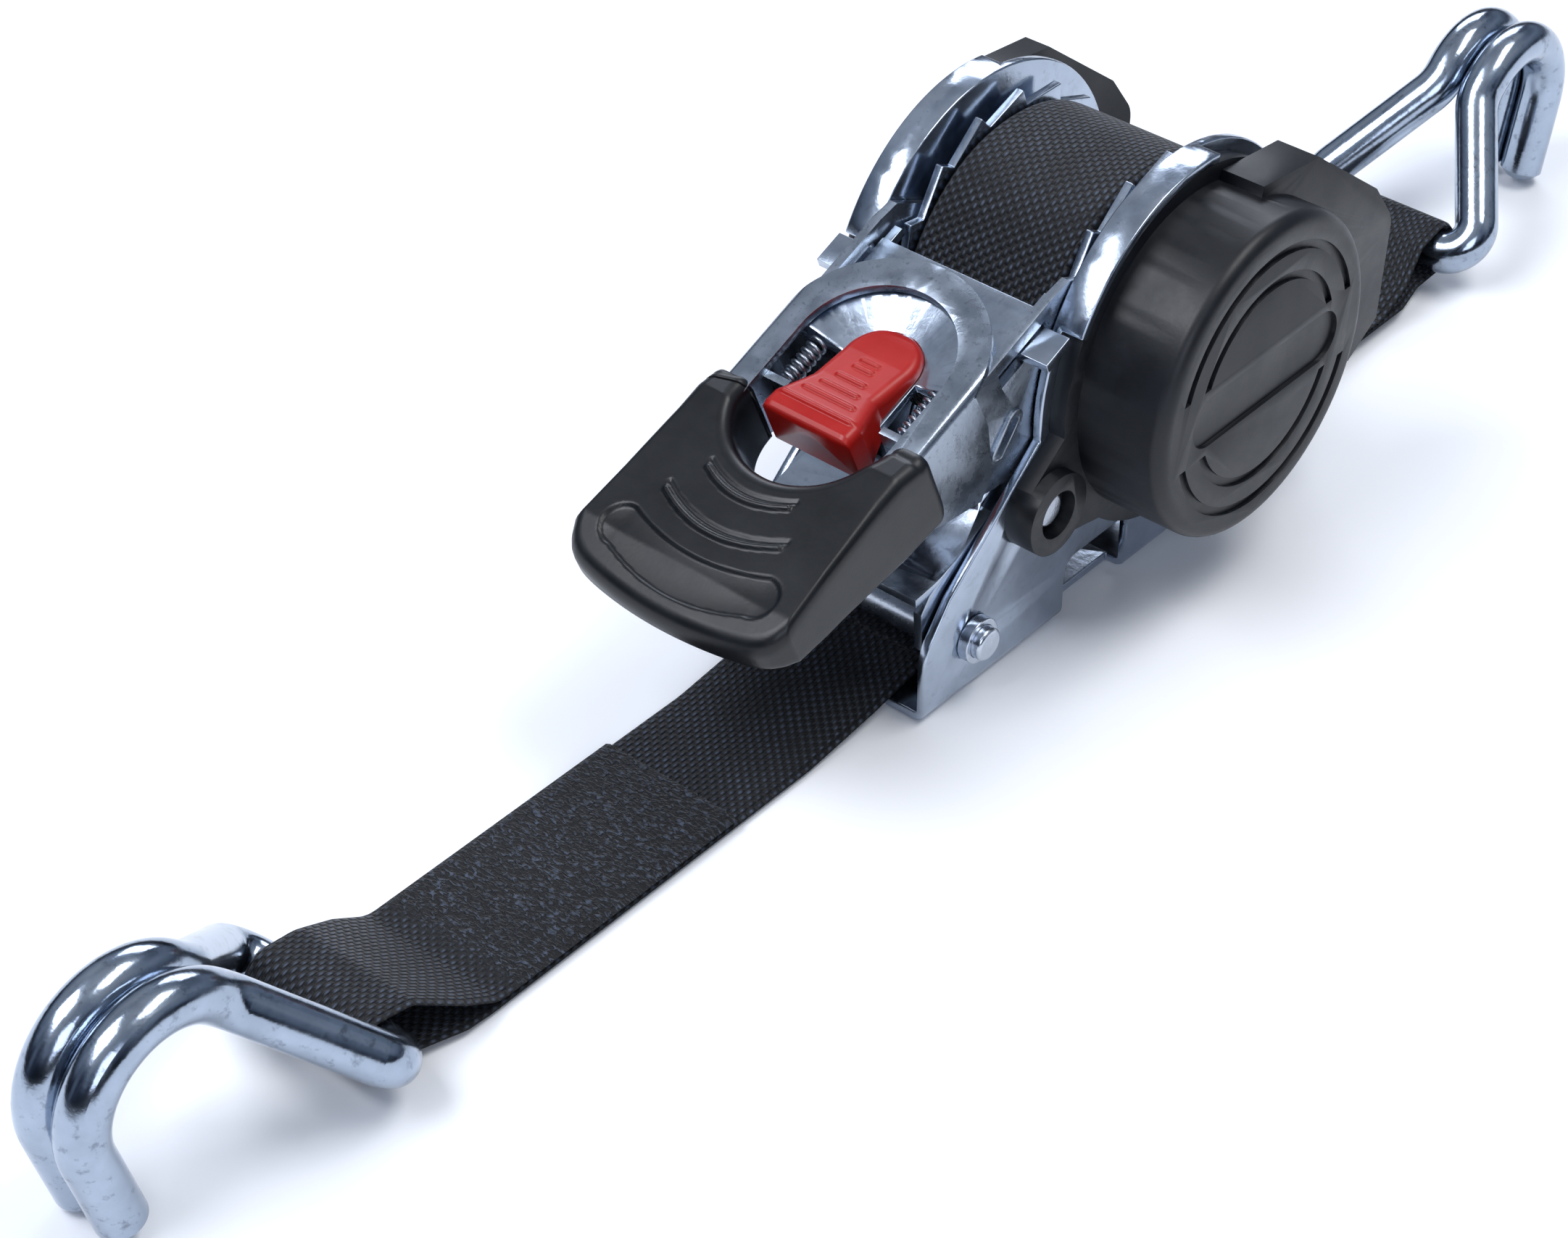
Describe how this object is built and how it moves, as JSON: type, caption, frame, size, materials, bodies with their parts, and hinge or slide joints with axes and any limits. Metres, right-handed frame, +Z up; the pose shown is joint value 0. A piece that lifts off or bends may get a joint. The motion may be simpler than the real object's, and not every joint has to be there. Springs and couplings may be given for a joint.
{
  "type": "retractable ratchet tie down",
  "caption": "Retractable ratchet strap: steel channel with covered webbing drum, pivoted handle with rubber grip and release tab, and a J-hook on each end.",
  "frame": {"origin": "on the underside of the steel channel, vertically under the drum's axle, midway across the webbing", "axes": "+X towards the fixed end's hook, -X towards the pull-out end's hook, +Y away from the deep cover that holds the power spring, +Z up"},
  "size_m": [0.3371, 0.0605, 0.0697],
  "materials": {
    "zinc_steel": "bright zinc plated pressed sheet",
    "zinc_wire": "zinc plated bent wire with dark specks",
    "steel_pin": "bright turned steel",
    "spring_steel": "plain drawn spring wire and strip",
    "cover_plastic": "satin black moulded plastic",
    "tab_plastic": "semi-gloss red moulded plastic",
    "grip_rubber": "matt black moulded rubber",
    "webbing": "woven polyester webbing",
    "thread": "sewing thread"
  },
  "bodies": {
    "frame": {"frame": "zinc_steel", "axle_bush_near": "steel_pin", "axle_bush_far": "steel_pin", "front_pin": "steel_pin", "pin_rings": "steel_pin", "pin_sleeve": "steel_pin", "rear_pin": "steel_pin", "near_cover": "cover_plastic", "far_cover": "cover_plastic", "cover_rivet_near": "steel_pin", "cover_rivet_far": "steel_pin", "spring_case": "zinc_steel", "power_spring": "spring_steel", "lock_springs": "spring_steel", "webbing_lead": "webbing"},
    "drum": {"axle_half_upper": "steel_pin", "axle_half_lower": "steel_pin", "ratchet_wheel_near": "zinc_steel", "ratchet_wheel_far": "zinc_steel", "webbing_roll": "webbing", "webbing_tuck": "webbing", "spring_arbor": "steel_pin"},
    "handle": {"handle_frame": "zinc_steel", "handle_grip": "grip_rubber", "pawl_springs": "spring_steel"},
    "pawl": {"pawl_plate": "zinc_steel", "tab_rivet": "steel_pin", "release_tab": "tab_plastic"},
    "lock_pawl": {"lock_pawl": "zinc_steel"},
    "strap_end": {"pull_strap": "webbing", "pull_stitching": "thread"},
    "near_hook": {"near_hook": "zinc_wire"},
    "short_strap": {"short_strap": "webbing", "short_stitching": "thread"},
    "far_hook": {"far_hook": "zinc_wire"}
  },
  "joints": [
    {"name": "handle_swing", "type": "hinge", "parent": "frame", "child": "handle", "pos_m": [0, 0, 0.0392], "axis": [0, 1, 0], "range_deg": [0, 125]},
    {"name": "pawl_slide", "type": "slide", "parent": "handle", "child": "pawl", "axis": [-0.9272, 0, -0.3746], "range_m": [0, 0.0045], "stiffness_N_per_m": 1200, "springref_m": -0.001, "deforming": ["pawl_springs"]},
    {"name": "lock_pawl_swing", "type": "hinge", "parent": "frame", "child": "lock_pawl", "pos_m": [-0.0445, 0, 0.0098], "axis": [0, 1, 0], "range_deg": [-10, 0], "stiffness_Nm_per_rad": 0.05, "springref_deg": 5.73, "deforming": ["lock_springs"]},
    {"name": "strap_pull", "type": "slide", "parent": "frame", "child": "strap_end", "axis": [-1, 0, 0], "range_m": [0, 0.06], "stiffness_N_per_m": 15},
    {"name": "drum_spin", "type": "hinge", "parent": "frame", "child": "drum", "pos_m": [0, 0, 0.0392], "axis": [0, 1, 0], "range_deg": [0, 130], "deforming": ["power_spring"]},
    {"name": "near_hook_swing", "type": "hinge", "parent": "strap_end", "child": "near_hook", "pos_m": [-0.1555, 0, 0.0066], "axis": [0, 1, 0], "range_deg": [0, 80]},
    {"name": "short_strap_swing", "type": "hinge", "parent": "frame", "child": "short_strap", "pos_m": [0.03, 0, 0.0086], "axis": [0, -1, 0], "range_deg": [0, 30]},
    {"name": "far_hook_swing", "type": "hinge", "parent": "short_strap", "child": "far_hook", "pos_m": [0.091, 0, 0.0066], "axis": [0, -1, 0], "range_deg": [0, 50]}
  ],
  "couplings": [
    {"joint": "drum_spin", "follows": "strap_pull", "rad_per_m": 36.63}
  ]
}
